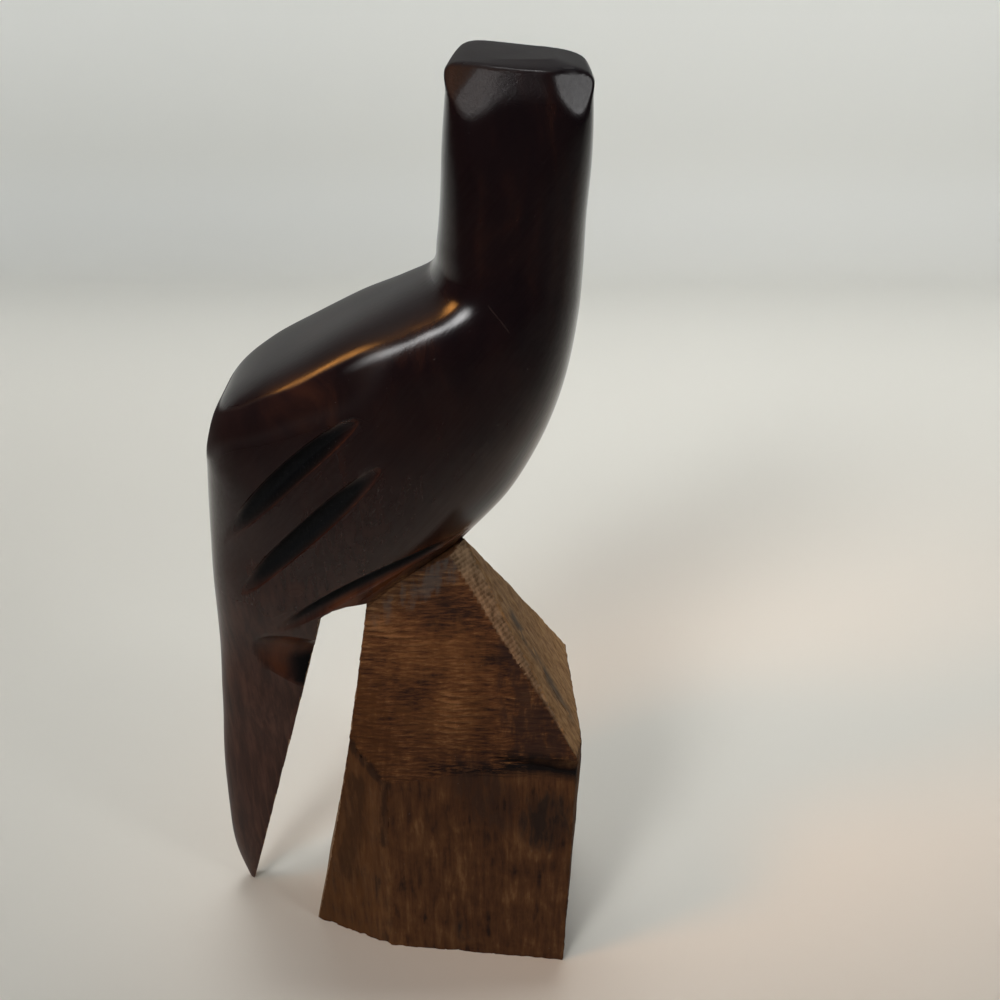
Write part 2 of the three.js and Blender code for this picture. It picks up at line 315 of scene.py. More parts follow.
def tool_mark(kind, point):
    """How far a face stands proud of its plane at a point, as its tool left it."""
    waver = noise.noise(point / (9 * MM))
    if kind == "rasped":
        lines = ripple(point.z - 0.06 * point.x + 0.9 * MM * waver, RASP_PITCH)
        torn = noise.noise(Vector((point.x / (5 * MM), point.y / (5 * MM), point.z / (0.7 * MM))))
        return RASP_DEPTH * (lines * (0.6 + 0.7 * waver) + 0.8 * torn) + 0.25 * MM * waver
    if kind == "strip":
        return FILE_DEPTH * ripple(point.dot(strip_line) + 0.5 * MM * waver, FILE_PITCH)
    if kind in ("split", "back"):
        fibres = noise.noise(Vector((point.x / (1.3 * MM), point.y / (1.3 * MM), point.z / (9 * MM))))
        return SPLIT_DEPTH * (0.8 * waver + 0.5 * fibres)
    return 0


shifts = []
for vert in plinth.verts:
    met = {face[facet_layer] for face in vert.link_faces}
    normals = [facets[index][0] for index in met]
    shift = sum((normal * tool_mark(kind_of(normal), vert.co) for normal in normals), Vector()) / len(met)
    if len(met) > 1:
        lean = sum(normals, Vector()).normalized()
        shift -= lean * EDGE_WEAR * max(0, 0.25 + noise.noise(vert.co / (1.9 * MM)))
    if vert.co.z < 0.1 * MM:
        shift.z = 0
    shifts.append(shift)
for vert, shift in zip(plinth.verts, shifts):
    vert.co += shift


def settle(bm, name):
    """A bmesh as an object of its own."""
    mesh = bpy.data.meshes.new(name)
    bm.to_mesh(mesh)
    bm.free()
    made = bpy.data.objects.new(name, mesh)
    bpy.context.scene.collection.objects.link(made)
    return made


def join(body, other, operation):
    """Adds other to body, or cuts it out of body, and removes other."""
    modifier = body.modifiers.new(other.name, "BOOLEAN")
    modifier.operation = operation
    modifier.solver = "MANIFOLD"
    modifier.object = other
    made = bpy.data.meshes.new_from_object(body.evaluated_get(bpy.context.evaluated_depsgraph_get()))
    body.modifiers.clear()
    old = body.data
    body.data = made
    bpy.data.meshes.remove(old)
    tool = other.data
    bpy.data.objects.remove(other)
    bpy.data.meshes.remove(tool)


carving = settle(bird, "desert_wood_eagle")
join(carving, settle(beak, "beak"), "UNION")
join(carving, settle(plinth, "plinth"), "UNION")

CHIP_POINTS = 22
chance = random.Random(11)


def chip(bm, centre, radius):
    """A splinter of wood to break away, a rough lump round a centre."""
    points = []
    for _ in range(CHIP_POINTS):
        towards = Vector([chance.gauss(0, 1) for _ in range(3)]).normalized()
        points.append(bm.verts.new(centre + towards * radius * chance.uniform(0.75, 1)))
    made = bmesh.ops.convex_hull(bm, input=points)
    inside = [g for g in made["geom_interior"] if isinstance(g, bmesh.types.BMVert)]
    bmesh.ops.delete(bm, geom=inside, context="VERTS")


def chip_edge(start, end, count, radius, outside):
    """Chips along an edge, from start to end, their centres as far outside the edge as asked."""
    chips = bmesh.new()
    for step in range(count):
        along = (step + 0.5 + chance.uniform(-0.15, 0.15)) / count
        size = radius * chance.uniform(0.55, 1)
        chip(chips, start.lerp(end, along) + outside.normalized() * size * chance.uniform(0.45, 0.75), size)
    bmesh.ops.recalc_face_normals(chips, faces=chips.faces)
    join(carving, settle(chips, "chips"), "DIFFERENCE")


foot_left, foot_middle, foot_right = corner(-1.07, -0.48, 0), corner(-0.39, -0.82, 0), corner(1.0, -0.99, 0)
chip_edge(foot_left, foot_middle, 5, 2.6 * MM, Vector((-0.3, -0.7, -0.6)))
chip_edge(foot_middle, foot_right, 14, 1.1 * MM, Vector((0, -0.8, -0.8)))
chip_edge(foot_right, corner(1.05, -1.02, 0.92), 22, 0.9 * MM, Vector((0.8, -0.6, 0)))
chip_edge(corner(-0.33, -0.86, 0.82), corner(-0.65, -0.71, 0.99), 6, 0.9 * MM, Vector((-0.6, -0.9, 0)))

CHECK_STEPS = 15
CHECK_LENGTH = 19 * MM
CHECK_WIDTH = 3.3 * MM
check_mouth = corner(1.05, -1.02, 0.965)
check_rings = []
for step in range(CHECK_STEPS + 1):
    along = step / CHECK_STEPS
    middle = check_mouth + Vector((2.5 * MM - along * CHECK_LENGTH, along * 1.4 * MM, along * 0.4 * MM))
    half = CHECK_WIDTH / 2 * (1 - along)**0.8 * (1 + 0.5 * noise.noise(middle / (1.7 * MM))) + 0.02 * MM
    check_rings.append([middle + Vector((0, y * MM, z * half)) for y, z in
                        ((-3, 1), (1.5, 0.9), (3.6 - 2.5 * along, 0.1), (1.5, -0.8), (-3, -1))])
join(carving, settle(skin(check_rings), "check"), "DIFFERENCE")

# The carved details
# Round file strokes for two feathers on each wing, an undercut where the belly meets the plinth, a
# gouged nick at the tail's root, and an eye filed under each brow.

FILE_RADIUS = 2.5 * MM
GOUGE_RADIUS = 9 * MM
EYE_RADIUS = 1.8 * MM
EYE_HOLLOW_DEPTH = 1.3 * MM
TOOL_LIFT = 0.4 * MM
STROKE_STEPS = 48
STROKE_AROUND = 60


def touch(tree, point, side):
    """Where a tool that is pressed in along side meets the surface, and how the surface faces there."""
    return tree.ray_cast(point - side * FIGURE_HEIGHT, side)[:2]


def round_stroke(tree, start, end, side, radius, depth, bow=0, whole=1):
    """The solid that a round tool takes away along one stroke, pressed in square to the surface."""
    shares = [step / STROKE_STEPS for step in range(STROKE_STEPS + 1)]
    hits = []
    for along in shares:
        rise = bow / 100 * FIGURE_HEIGHT * 4 * along * (1 - along)
        hits.append(touch(tree, start.lerp(end, along) + Vector((0, 0, rise)), side))
    pressed = -sum((normal for point, normal in hits), Vector()).normalized()
    centres = []
    for along, (point, normal) in zip(shares, hits):
        sunk = (depth + TOOL_LIFT) * math.sin(math.pi * whole * along) - TOOL_LIFT
        centres.append(point + pressed * (sunk - radius))
    rings = []
    for step, centre in enumerate(centres):
        heading = (centres[min(step + 1, STROKE_STEPS)] - centres[max(step - 1, 0)]).normalized()
        right = heading.cross(side).normalized()
        out = right.cross(heading).normalized()
        rings.append([centre + radius * (math.cos(t) * right + math.sin(t) * out)
                      for t in np.linspace(0, 2 * np.pi, STROKE_AROUND, endpoint=False)])
    return skin(rings)


file_strokes = {
    "upper_feather": dict(start=(-29.0, 53.8), end=(-12.2, 70.2), bow=1.2, depth=1.5 * MM),
    "lower_feather": dict(start=(-28.6, 46.4), end=(-10.2, 65.6), bow=0.4, depth=1.5 * MM),
    "undercut": dict(start=(-25.6, 42.0), end=(-3.0, 54.5), bow=1.2, depth=1.2 * MM),
    "nick": dict(start=(-27.4, 40.4), end=(-19.0, 36.6), radius=GOUGE_RADIUS, depth=3.4 * MM, whole=0.5),
}
EYE_REACH = 3.4
EYE_RISE = 1.1
EYE_HALF_LENGTH = 3.2
eye_height = bird_stations["cheek"]["outer"][1] + EYE_RISE
blank = BVHTree.FromObject(carving, bpy.context.evaluated_depsgraph_get())
tools = []
eye_centres = []
for facing in (-1, 1):
    across = Vector((0, -facing, 0))
    for name, stroke in file_strokes.items():
        ends = [on_bird(stroke[key][0], 0, stroke[key][1]) for key in ("start", "end")]
        shape = round_stroke(blank, *ends, across, stroke.get("radius", FILE_RADIUS), stroke["depth"],
                             stroke.get("bow", 0), stroke.get("whole", 1))
        tools.append((settle(shape, name), "DIFFERENCE"))
    along = Vector((-facing, 0, 0))
    ends = [on_bird(0, EYE_REACH + end * EYE_HALF_LENGTH, eye_height) for end in (-1, 1)]
    shape = round_stroke(blank, *ends, along, FILE_RADIUS, EYE_HOLLOW_DEPTH)
    tools.append((settle(shape, "eye_hollow"), "DIFFERENCE"))
    lid = touch(blank, on_bird(0, EYE_REACH, eye_height), along)[0]
    ball = bmesh.new()
    bmesh.ops.create_uvsphere(ball, u_segments=28, v_segments=18, radius=EYE_RADIUS)
    eye_centres.append(lid + along * EYE_RADIUS)
    bmesh.ops.translate(ball, verts=ball.verts, vec=eye_centres[-1])
    tools.append((settle(ball, "eyeball"), "UNION"))
for tool, operation in tools:
    join(carving, tool, operation)

# The saw slot
# A hand saw parts the tail from the plinth. It was sawn upwards, wandered a little on the plinth's
# side, and turned into a low arch with a sharp corner under the belly.

SLOT_WANDER = 0.9 * MM
tail_foot = on_bird(TAIL_FOOT, 0, 0)
tail_head = on_bird(-20.2, 0, 40.7)
arch = [on_bird(-19.4, 0, 44.6), on_bird(-17.9, 0, 45.7), on_bird(-16.3, 0, 46.2)]
plinth_head = Vector((tail_head.x + SLOT_HEAD_WIDTH, 0, on_bird(0, 0, 46.2).z))
plinth_foot = Vector((-PLINTH_LENGTH / 2, 0, 0))
plinth_side = []
for down in (0.2, 0.4, 0.6, 0.8):
    point = plinth_head.lerp(plinth_foot, down)
    plinth_side.append(point + Vector((SLOT_WANDER * math.sin(math.pi * down), 0, 0)))
below = Vector((0, 0, -SLOT_FOOT_WIDTH))
outline = [tail_foot + below, tail_foot, tail_head, *arch, plinth_head, *plinth_side, plinth_foot,
           plinth_foot + below]
SAW_STEP = 0.45 * MM
SAW_MARK = 0.11 * MM
SAW_RINGS = 46
fine_outline = []
for here, there in zip(outline, outline[1:] + outline[:1]):
    count = max(1, round((there - here).length / SAW_STEP))
    fine_outline += [here.lerp(there, step / count) for step in range(count)]
slot_rings = []
for y in np.linspace(-0.75 * PLINTH_DEPTH, 0.75 * PLINTH_DEPTH, SAW_RINGS):
    ring = []
    for point in fine_outline:
        tooth = noise.noise(Vector((0, y / (12 * MM), point.z / (0.8 * MM))))
        ring.append(point + Vector((SAW_MARK * tooth * 2, y, 0)))
    slot_rings.append(ring)
join(carving, settle(skin(slot_rings), "saw_slot"), "DIFFERENCE")

# The finish
# Oil and wax on the polished bird. Bare wood on the plinth, at the tail, in the file strokes and in the
# slot. Each vertex holds how raw, worn and dull the wood is, where shade is painted on it, and how red it
# is, partly as painted light, for the material to read.

mesh = carving.data
count = len(mesh.vertices)
places = np.empty(count * 3, np.float32)
mesh.vertices.foreach_get("co", places)
places = places.reshape(-1, 3).astype(float)
facing = np.empty(count * 3, np.float32)
mesh.vertices.foreach_get("normal", facing)
facing = facing.reshape(-1, 3).astype(float)
speckle = np.array([noise.noise(Vector(p) / (5 * MM)) for p in places])


def ramp(values, low, high):
    """0 at low, 1 at high, and smooth between them."""
    share = np.clip((values - low) / (high - low), 0, 1)
    return share * share * (3 - 2 * share)


facet_normals = np.array([normal for normal, centre in facets])
facet_heights = np.array([normal.dot(centre) for normal, centre in facets])
above = places @ facet_normals.T - facet_heights
facet_of = above.argmax(1)
off_plinth = above.max(1)
raw = 1 - ramp(off_plinth + 0.5 * MM * speckle, 0.6 * MM, 2.4 * MM)

tone = np.zeros(count)
warm = np.zeros(count)
lined = np.zeros(count)
marks = np.zeros(count)
for index, (normal, centre) in enumerate(facets):
    here = facet_of == index
    kind = kind_of(normal)
    if kind == "strip":
        tone[here] = 0.85
    elif normal.x > 0.4 and normal.z > 0.3:
        tone[here] = 1
        warm[here] = 1
    elif kind == "split" and normal.x < -0.3:
        tone[here] = 0.10
        warm[here] = 1
    lined[here] = kind == "rasped"
for index in np.flatnonzero(raw > 0):
    kind = kind_of(facets[facet_of[index]][0])
    marks[index] = tool_mark(kind, Vector(places[index])) / (0.3 * MM)

side_view = places[:, [0, 2]]
figure_view = (side_view - [figure_x, 0]) / FIGURE_HEIGHT * 100


def off_line(points, start, end):
    """How far points of the side view lie from the line from start to end."""
    line = np.subtract(end, start)
    share = np.clip(((points - start) @ line) / (line @ line), 0, 1)
    return np.linalg.norm(points - start - share[:, None] * line, axis=1)


slot_line = np.array([[p.x, p.z] for p in outline])
slot_sides = list(zip(slot_line[1:-2], slot_line[2:-1]))
off_slot = np.min([off_line(side_view, start, end) for start, end in slot_sides], axis=0)
on_wall = off_slot < 2.2 * SAW_MARK
wall_faces = np.array([all(on_wall[v] for v in polygon.vertices) for polygon in mesh.polygons])

sunk = np.array([blank.find_nearest(Vector(p))[3] for p in places])
sunk[raw > 0.6] = 0
for centre in eye_centres:
    sunk[np.linalg.norm(places - centre, axis=1) < 1.03 * EYE_RADIUS] = 0
undercut = file_strokes["undercut"]
shares = (figure_view[:, 0] - undercut["start"][0]) / (undercut["end"][0] - undercut["start"][0])
undercut_height = undercut["start"][1] + shares * (undercut["end"][1] - undercut["start"][1])
undercut_height += undercut["bow"] * 4 * shares * (1 - shares)
over_undercut = figure_view[:, 1] - undercut_height
low = 1 - ramp(over_undercut, 1.2, 2.4)
hollow = ramp(sunk, 0.12 * MM, 0.75 * MM)
# shade is painted shade: the dark inside the file strokes, in the top of the undercut and on the nick's
# lower side.
shade = hollow * (1 - low)
shade = np.maximum(shade, low * ramp(sunk, 0.10 * MM, 0.6 * MM) * ramp(over_undercut, -1.0, 0.1))
nick_shade = ramp(figure_view[:, 0], -24.6, -22.4) * (1 - ramp(figure_view[:, 1], 36.8, 38.6))
in_nick = low * ramp(sunk, 0.1 * MM, 0.5 * MM) * (1 - ramp(over_undercut, -3.0, -1.0))
shade = np.maximum(shade, in_nick * nick_shade)
by_plinth = low * (1 - ramp(off_plinth, 3.5 * MM, 7.5 * MM))
# Red-brown: painted light on the nick's upper side and on the thin rims of the file strokes, and a reddish
# band along the belly by the plinth.
reddened_and_lit = np.maximum(in_nick * (1 - nick_shade), by_plinth * (1 - shade))
reddened_and_lit *= 1 - ramp(-figure_view[:, 0], 27.5, 30.0)
red_line = ramp(sunk, 0.0, 0.03 * MM) * (1 - ramp(sunk, 0.05 * MM, 0.25 * MM)) * (1 - low)
red_line *= ramp(over_undercut, 3.0, 4.0)
reddened_and_lit = np.maximum(reddened_and_lit, 0.5 * red_line) * (1 - raw)
rubbed = np.zeros(count)
for flat in head_flats:
    past = (places - on_bird(*flat["point"])) @ np.array(Vector(flat["normal"]).normalized())
    on_flat = ramp(past, -0.35 * MM, -0.1 * MM)
    rubbed = rubbed * (1 - on_flat) + flat["dull"] * on_flat

wing = 1 - ramp(places[:, 2] + 6 * MM * speckle - 0.3 * places[:, 0], 0.100, 0.140)
worn = 1 - ramp(places[:, 2] + 9 * MM * speckle, 0.048, 0.105)
# Faces that look up. The material paints a blue-grey sheen on them and dulls them.
skyward = ramp(facing[:, 2], 0.55, 0.85) * (places[:, 2] > 0.1)
crown = skyward * ramp(places[:, 2], 0.172, 0.176)
quiet = ramp(-figure_view[:, 0], 9.0, 15.0) * ramp(places[:, 2], 0.100, 0.122)
quiet *= (1 - ramp(facing[:, 2], 0.56, 0.64)) * ramp(facing[:, 2], 0.02, 0.2)


def set_attribute(name, values, domain="POINT"):
    layer = mesh.attributes.new(name, "FLOAT", domain)
    layer.data.foreach_set("value", values.astype(np.float32))


for name, values in dict(raw=raw, tone=tone, warm=warm, lined=lined, marks=marks, shade=shade, reddened_and_lit=reddened_and_lit,
                         wing=wing, worn=worn, skyward=skyward, crown=crown,
                         quiet=quiet, rubbed=rubbed).items():
    set_attribute(name, values)
set_attribute("sawn", wall_faces, "FACE")

wood = bpy.data.materials.new("desert_wood")
wood.use_nodes = True
wood_nodes = wood.node_tree.nodes
wood_links = wood.node_tree.links


def plug(socket, value):
    """Links a socket to value, or sets the plain value on it."""
    if isinstance(value, bpy.types.NodeSocket):
        wood_links.new(value, socket)
    elif isinstance(value, tuple) and len(value) == 3 and socket.type == "RGBA":
        socket.default_value = (*value, 1)
    else:
        socket.default_value = value


def node(kind, output=0, settings=None, **inputs):
    """Adds a node, sets it, plugs its inputs, and gives back one of its outputs."""
    made = wood_nodes.new(kind)
    for name, value in (settings or {}).items():
        setattr(made, name, value)
    for name, value in inputs.items():
        key = int(name[1:]) if name[1:].isdigit() and name[0] == "i" else name.replace("_", " ")
        plug(made.inputs[key], value)
    return made.outputs[output]


def mask(name):
    return node("ShaderNodeAttribute", "Fac", dict(attribute_name=name))


def blend(share, low, high):
    """A colour between two colours."""
    made = wood_nodes.new("ShaderNodeMix")
    made.data_type = "RGBA"
    plug(made.inputs[0], share)
    plug(made.inputs[6], low)
    plug(made.inputs[7], high)
    return made.outputs[2]


def sums(operation, first, second=0.0, third=0.0, clamp=False):
    settings = dict(operation=operation, use_clamp=clamp)
    return node("ShaderNodeMath", 0, settings, i0=first, i1=second, i2=third)


def times(*values):
    product = values[0]
    for value in values[1:]:
        product = sums("MULTIPLY", product, value)
    return product


def spots(coordinates, scale, detail=4.0, roughness=0.55, distortion=0.0):
    return node("ShaderNodeTexNoise", "Fac", None, Vector=coordinates, Scale=scale, Detail=detail,
                Roughness=roughness, Distortion=distortion)


def stretch(values, low, high):
    return node("ShaderNodeMapRange", 0, dict(clamp=True), i0=values, i1=low, i2=high)


def squeeze(scale, turn=(0.0, 0.0, 0.0)):
    """The carving's own coordinates, turned and squeezed so that a texture on them is drawn out."""
    turned = node("ShaderNodeMapping", 0, None, Vector=place, Rotation=turn)
    return node("ShaderNodeMapping", 0, None, Vector=turned, Scale=scale)


def colours(share, *stops):
    made = wood_nodes.new("ShaderNodeValToRGB")
    plug(made.inputs[0], share)
    band = made.color_ramp
    while len(band.elements) < len(stops):
        band.elements.new(0.5)
    for element, (position, colour) in zip(band.elements, stops):
        element.position = position
        element.color = (*colour, 1)
    return made.outputs[0]


WAVER = 0.8 * MM


def near_line(start, end, reach, waver):
    """1 on the straight line between two points, and 0 further off than reach. It wavers a little."""
    line = end - start
    shift = dict(operation="MULTIPLY_ADD")
    moved = node("ShaderNodeVectorMath", 0, shift, i0=waver, i1=(WAVER,) * 3, i2=place)
    from_start = node("ShaderNodeVectorMath", 0, dict(operation="SUBTRACT"), i0=moved, i1=tuple(start))
    along = node("ShaderNodeVectorMath", "Value", dict(operation="DOT_PRODUCT"), i0=from_start,
                 i1=tuple(line / line.length_squared))
    along = sums("MAXIMUM", sums("MINIMUM", along, 1.0), 0.0)
    foot = node("ShaderNodeVectorMath", 0, dict(operation="MULTIPLY"), i0=tuple(line),
                i1=node("ShaderNodeCombineXYZ", 0, None, X=along, Y=along, Z=along))
    gap = node("ShaderNodeVectorMath", "Value", dict(operation="DISTANCE"), i0=from_start, i1=foot)
    return stretch(gap, reach, 0.35 * reach)


place = node("ShaderNodeTexCoord", "Object")
waver = node("ShaderNodeTexNoise", "Color", None, Vector=place, Scale=160.0, Detail=2.0)
figure = spots(squeeze((1.0, 1.0, 0.30)), 90.0, 5.0, 0.6, 1.0)
fibre = spots(squeeze((1.0, 1.0, 0.09)), 900.0, 5.0, 0.6, 0.3)
fine_fibre = spots(squeeze((1.0, 1.0, 0.09)), 2600.0, 3.0, 0.6)
flecked = spots(squeeze((1.0, 1.0, 0.22)), 700.0, 4.0, 0.6, 0.2)
rasp_fibre = spots(squeeze((0.04, 1.0, 1.0), (0.0, 0.06, 0.0)), 2300.0, 4.0, 0.7)
scratches = spots(squeeze((0.06, 1.0, 1.0), (0.0, 0.9, 0.0)), 1500.0, 2.0, 0.6)
sanding = spots(squeeze((1.0, 1.0, 0.35), (0.0, 0.7, 0.0)), 2400.0, 3.0, 0.6)
flecks = spots(place, 2600.0, 1.0, 0.5)
blotches = spots(place, 130.0, 3.0, 0.6, 0.5)

oiled = colours(figure, (0.34, (0.0044, 0.0018, 0.0032)), (0.52, (0.0086, 0.0034, 0.0042)),
                (0.70, (0.0260, 0.0095, 0.0065)))
wing_brown = colours(fibre, (0.28, (0.0130, 0.0052, 0.0044)), (0.60, (0.0240, 0.0092, 0.0068)))
oiled = blend(times(mask("wing"), 0.85), oiled, wing_brown)
tail_brown = colours(sums("ADD", times(fibre, 0.7), times(figure, 0.3)), (0.30, (0.0170, 0.0062, 0.0045)),
                     (0.46, (0.0370, 0.0140, 0.0090)), (0.62, (0.0700, 0.0290, 0.0190)))
oiled = blend(mask("worn"), oiled, tail_brown)
# Painted sheen: faces that look up are painted a cool blue-grey, as the reflected wall and sky look on
# them.
oiled = blend(times(mask("skyward"), 0.8), oiled, (0.013, 0.013, 0.016))

grain = sums("ADD", sums("ADD", times(flecked, 0.42), times(fibre, 0.26)), times(blotches, 0.32))
rows = sums("ADD", sums("ADD", times(rasp_fibre, 0.62), times(blotches, 0.22)), times(figure, 0.16))
rows = sums("ADD", rows, times(mask("marks"), 0.10))
grain = sums("ADD", times(grain, sums("SUBTRACT", 1.0, mask("lined"))), times(rows, mask("lined")))
bare = colours(grain, (0.38, (0.018, 0.0085, 0.0052)), (0.46, (0.060, 0.0240, 0.0092)),
               (0.54, (0.100, 0.0430, 0.0155)), (0.64, (0.190, 0.0940, 0.0370)))
tan = colours(sums("ADD", fibre, times(mask("marks"), 0.4)), (0.30, (0.090, 0.0530, 0.0270)),
              (0.66, (0.330, 0.2150, 0.1230)))
orange = colours(fibre, (0.30, (0.170, 0.0800, 0.0300)), (0.65, (0.400, 0.2300, 0.1000)))
tan = blend(mask("warm"), tan, orange)
bare = blend(mask("tone"), bare, tan)
cut = colours(fibre, (0.30, (0.100, 0.0550, 0.0280)), (0.65, (0.300, 0.1900, 0.1050)))
hollow_shade_with_dust = colours(flecks, (0.66, (0.0016, 0.0017, 0.0024)), (0.80, (0.0160, 0.0150, 0.0170)))
red_brown_and_lit = colours(figure, (0.35, (0.0240, 0.0065, 0.0034)), (0.60, (0.0850, 0.0260, 0.0100)))

colour = blend(mask("raw"), oiled, bare)
# Painted light in red-brown on the nick's upper side and the file strokes' rims, and the reddish band by
# the plinth.
colour = blend(mask("reddened_and_lit"), colour, red_brown_and_lit)
# Painted shade in the hollows, with pale dust specks in it.
colour = blend(mask("shade"), colour, hollow_shade_with_dust)
# Where the plinth is darker, greyer or redder, in mm; the pale grey band under the belly is dust with a
# painted sheen. The faces marked lined are the rasped ones.
stains_and_sheen = [
    dict(start=(-15, -18, 60), end=(-22, -15, 2),
         reach=13, share=0.62, colour=(0.062, 0.0235, 0.0058)),
    dict(start=(4, -23, 44), end=(22, -25, 2),
         reach=30, share=0.36, colour=(0.030, 0.0120, 0.0055)),
    dict(start=(19, -16, 80), end=(22, -23, 60),
         reach=9, share=0.75, colour=(0.020, 0.0105, 0.0085), on="lined"),
    # A pale grey band along the top of the rasped face under the belly: dust, and a painted sheen.
    dict(start=(3, -12, 91), end=(-13, -16, 79),
         reach=4, share=0.6, colour=(0.075, 0.0660, 0.0600), on="lined"),
    dict(start=(-13, -18, 74), end=(-13, -21, 62),
         reach=4, share=0.7, colour=(0.030, 0.0260, 0.0270), on="lined"),
    dict(start=(-5, -18, 75), end=(6, -17, 76),
         reach=9, share=0.32, colour=(0.130, 0.0580, 0.0180), on="lined"),
    dict(start=(-3, -21, 62), end=(8, -21, 64),
         reach=7, share=0.25, colour=(0.110, 0.0500, 0.0160), on="lined"),
    dict(start=(23, -25, 43), end=(23, -25, 37),
         reach=6.5, share=0.85, colour=(0.010, 0.0075, 0.0070)),
    dict(start=(6, -24.5, 9), end=(6, -24.5, 5),
         reach=4, share=0.9, colour=(0.010, 0.0075, 0.0070)),
    dict(start=(8, -24.5, 50), end=(13, -24.5, 42),
         reach=8, share=0.7, colour=(0.018, 0.0095, 0.0075)),
    dict(start=(-9.5, -21, 46), end=(-10.4, -20.4, 30),
         reach=1.6, share=0.6, colour=(0.008, 0.0050, 0.0040)),
    dict(start=(-15.5, -18.3, 44), end=(-19, -16.3, 18),
         reach=4, share=0.55, colour=(0.020, 0.0095, 0.0045)),
    dict(start=(-17.5, -17.4, 55.4), end=(-8.9, -21.1, 45.9),
         reach=1.8, share=0.65, colour=(0.008, 0.0050, 0.0040)),
]
MOTTLING = 5.0
mottle = sums("ADD", times(flecked, 0.75), times(blotches, 0.25))
mottle = times(sums("SUBTRACT", mottle, 0.5), MOTTLING)
for patch in stains_and_sheen:
    close = near_line(Vector(patch["start"]) * MM, Vector(patch["end"]) * MM, patch["reach"] * MM, waver)
    torn = times(stretch(sums("ADD", close, mottle), 0.2, 1.1), stretch(close, 0.0, 0.4))
    share = times(torn, mask("raw"), mask(patch.get("on", "raw")), patch["share"])
    colour = blend(share, colour, patch["colour"])
grey_band = near_line(Vector((17, -9, 78)) * MM, Vector((29, -14, 60)) * MM, 3.5 * MM, waver)
grey_band = times(grey_band, stretch(blotches, 0.42, 0.5), mask("warm"), mask("raw"))
colour = blend(times(grey_band, 0.75), colour, (0.060, 0.0520, 0.0450))
# Painted shade: black in and along the drying check, and along a fine crack running on from it.
check_start = check_mouth + Vector((2, -0.4, -0.6)) * MM
check_shade = near_line(check_start, check_mouth + Vector((-13, 1.2, 0.2)) * MM, 3.6 * MM, waver)
check_trail = near_line(check_start, check_mouth + Vector((-28, 3.0, -3.0)) * MM, 2.2 * MM, waver)
trail = times(check_trail, stretch(rasp_fibre, 0.54, 0.46), 0.9)
check_shade = times(check_shade, stretch(rasp_fibre, 0.62, 0.50))
check_core = near_line(check_start, check_mouth + Vector((-8, 0.9, 0.3)) * MM, 3.2 * MM, waver)
check_black = sums("MAXIMUM", sums("MAXIMUM", check_shade, trail), check_core)
colour = blend(times(check_black, mask("raw")), colour, (0.004, 0.0028, 0.0028))
dust = stretch(flecks, 0.80, 0.84)
colour = blend(times(dust, 0.4), colour, (0.2, 0.19, 0.18))
colour = blend(mask("sawn"), colour, cut)
hairline = near_line(Vector((0.0110, -0.0154, 0.1456)), Vector((0.0163, -0.0165, 0.1387)), 0.16 * MM, waver)
colour = blend(times(hairline, 0.15), colour, (0.12, 0.09, 0.08))

rough_share = sums("MAXIMUM", sums("MAXIMUM", mask("raw"), mask("sawn")), mask("shade"))
gloss = sums("SUBTRACT", 1.0, rough_share, clamp=True)
matt = sums("MAXIMUM", times(mask("worn"), 0.7), mask("rubbed"))
matt = sums("MAXIMUM", times(mask("skyward"), 0.92), matt)
gloss = times(gloss, sums("SUBTRACT", 1.0, matt), sums("SUBTRACT", 1.0, mask("quiet")))
gloss = times(gloss, stretch(scratches, -0.5, 0.75))
roughness = sums("ADD", sums("ADD", 0.20, times(rough_share, 0.5)), times(matt, 0.30), clamp=True)
dulled = sums("ADD", times(mask("crown"), 0.30), times(mask("quiet"), 0.8))
roughness = sums("ADD", roughness, dulled, clamp=True)

relief = times(fibre, sums("ADD", times(rough_share, 0.9), 0.04))
relief = sums("ADD", relief, times(fine_fibre, sums("ADD", times(rough_share, 0.5), 0.02)))
relief = sums("ADD", relief, times(scratches, sums("SUBTRACT", 1.0, rough_share), 0.16))
relief = sums("ADD", relief, times(sanding, mask("rubbed"), 0.55))
GRAIN_DEPTH = 0.25 * MM
bump = node("ShaderNodeBump", 0, None, Strength=0.7, Distance=GRAIN_DEPTH, Height=relief)

shader = wood_nodes["Principled BSDF"]
plug(shader.inputs["Base Color"], colour)
plug(shader.inputs["Roughness"], roughness)
plug(shader.inputs["Normal"], bump)
plug(shader.inputs["Coat Weight"], times(gloss, 0.42))
shader.inputs["Coat Roughness"].default_value = 0.15
shader.inputs["Specular IOR Level"].default_value = 0.16

mesh.materials.clear()
mesh.materials.append(wood)
mesh.shade_smooth()
SHARP_ANGLE = 38
mesh.set_sharp_from_angle(angle=math.radians(SHARP_ANGLE))
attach(carving, "root")
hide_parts("eagle_carving")

# The stage
# A plain pale floor that turns up into a plain wall, soft lights, and the camera at the photograph's
# angle. Nothing here belongs to the carving.

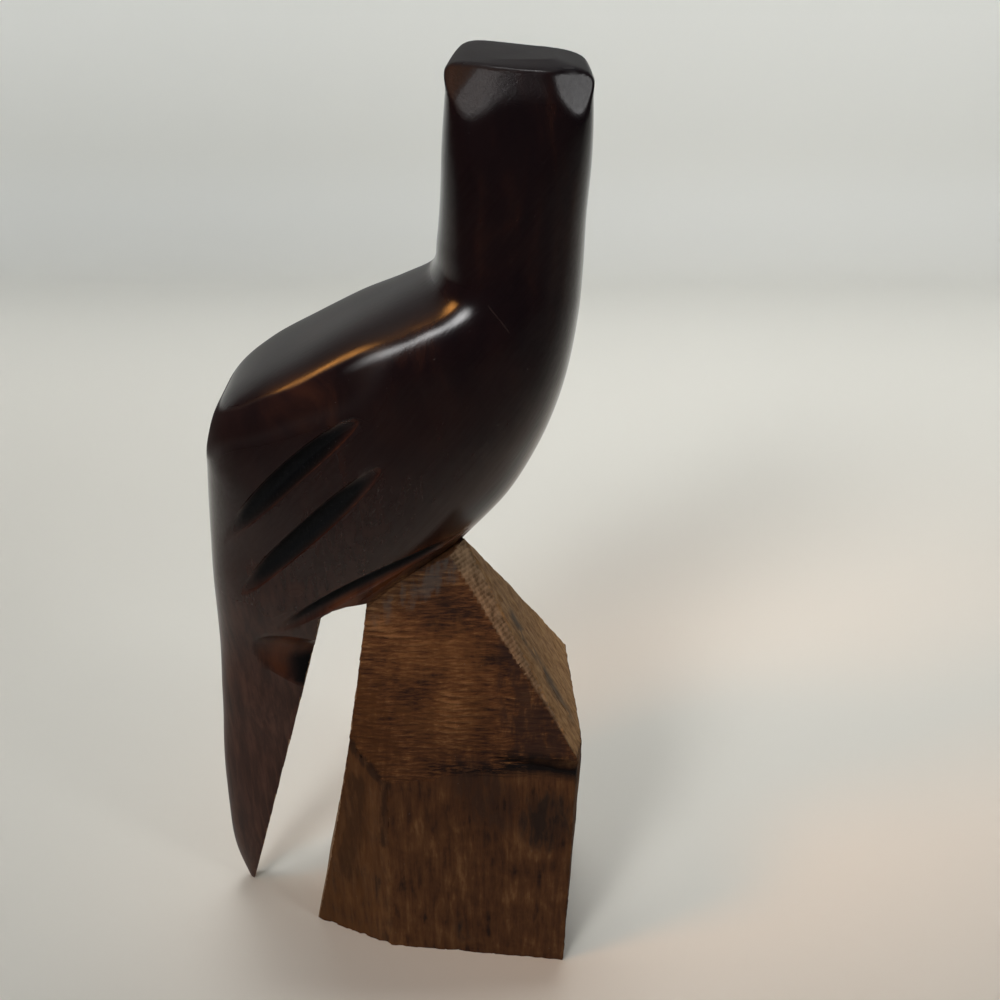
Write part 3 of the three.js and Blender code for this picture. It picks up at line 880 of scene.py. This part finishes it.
FLOOR_HALF = 1.6
WALL_AT = 0.5
WALL_HEIGHT = 1.6
SWEEP_RADIUS = 0.06
SWEEP_STEPS = 8
bm = bmesh.new()
profile = [bm.verts.new((-FLOOR_HALF, -FLOOR_HALF, 0))]
for step in range(SWEEP_STEPS + 1):
    turn = step / SWEEP_STEPS * math.pi / 2
    profile.append(bm.verts.new((-FLOOR_HALF, WALL_AT - SWEEP_RADIUS + SWEEP_RADIUS * math.sin(turn),
                                 SWEEP_RADIUS - SWEEP_RADIUS * math.cos(turn))))
profile.append(bm.verts.new((-FLOOR_HALF, WALL_AT, WALL_HEIGHT)))
edges = [bm.edges.new(pair) for pair in zip(profile, profile[1:])]
made = bmesh.ops.extrude_edge_only(bm, edges=edges)["geom"]
far_side = [g for g in made if isinstance(g, bmesh.types.BMVert)]
bmesh.ops.translate(bm, verts=far_side, vec=(2 * FLOOR_HALF, 0, 0))
bmesh.ops.recalc_face_normals(bm, faces=bm.faces)
floor = settle(bm, "floor")
floor.data.shade_smooth()
pale_finish = bpy.data.materials.new("pale_floor")
pale_finish.use_nodes = True
pale_finish.node_tree.nodes["Principled BSDF"].inputs["Base Color"].default_value = (0.72, 0.70, 0.64, 1)
pale_finish.node_tree.nodes["Principled BSDF"].inputs["Roughness"].default_value = 0.6
pale_finish.node_tree.nodes["Principled BSDF"].inputs["Specular IOR Level"].default_value = 0.2
floor.data.materials.append(pale_finish)

world = bpy.data.worlds.new("room")
bpy.context.scene.world = world
world.use_nodes = True
world.node_tree.nodes["Background"].inputs["Color"].default_value = (0.95, 0.97, 1.0, 1)
world.node_tree.nodes["Background"].inputs["Strength"].default_value = 0.07


def area_light(name, azimuth, elevation, distance, size, energy, colour=(1, 1, 1), spread=180,
               aim=(0, 0, 0.09)):
    """A soft light. Azimuth 0 is towards +Y and 90 towards +X, in degrees, and it points at aim."""
    lamp = bpy.data.lights.new(name, "AREA")
    lamp.shape = "RECTANGLE"
    lamp.size, lamp.size_y = size
    lamp.energy = energy
    lamp.color = colour
    lamp.spread = math.radians(spread)
    light = bpy.data.objects.new(name, lamp)
    turn, rise = math.radians(azimuth), math.radians(elevation)
    towards = Vector((math.sin(turn) * math.cos(rise), math.cos(turn) * math.cos(rise), math.sin(rise)))
    light.location = Vector(aim) + distance * towards
    light.rotation_euler = (-towards).to_track_quat("-Z", "Y").to_euler()
    bpy.context.scene.collection.objects.link(light)


area_light("ceiling", 0, 84, 1.0, (2.0, 1.0), 2.9, spread=20, aim=(0.1, 0.46, 0))
area_light("wall_wash", 180, 25, 0.9, (1.6, 0.2), 2.9, colour=(0.92, 0.98, 1.05), spread=60,
           aim=(0, WALL_AT, 0.35))
area_light("key", -152, 34, 1.0, (0.28, 0.34), 0.15, spread=26, aim=(0.01, 0.03, 0.09))
area_light("window", 125, 31, 1.0, (0.18, 0.18), 1.05)
area_light("warm_lamp", -116, 47, 0.36, (0.09, 0.13), 0.024, colour=(1.0, 0.42, 0.10), spread=30,
           aim=(-0.014, -0.016, 0.134))

camera_data = bpy.data.cameras.new("camera")
camera_data.lens = 43.2
camera_data.sensor_width = 36
camera = bpy.data.objects.new("camera", camera_data)
camera.location = (0.0135, -0.2056, 0.2085)
camera.rotation_euler = (math.radians(62), 0, 0)
bpy.context.scene.collection.objects.link(camera)
bpy.context.scene.camera = camera
bpy.context.scene.view_settings.view_transform = "Standard"
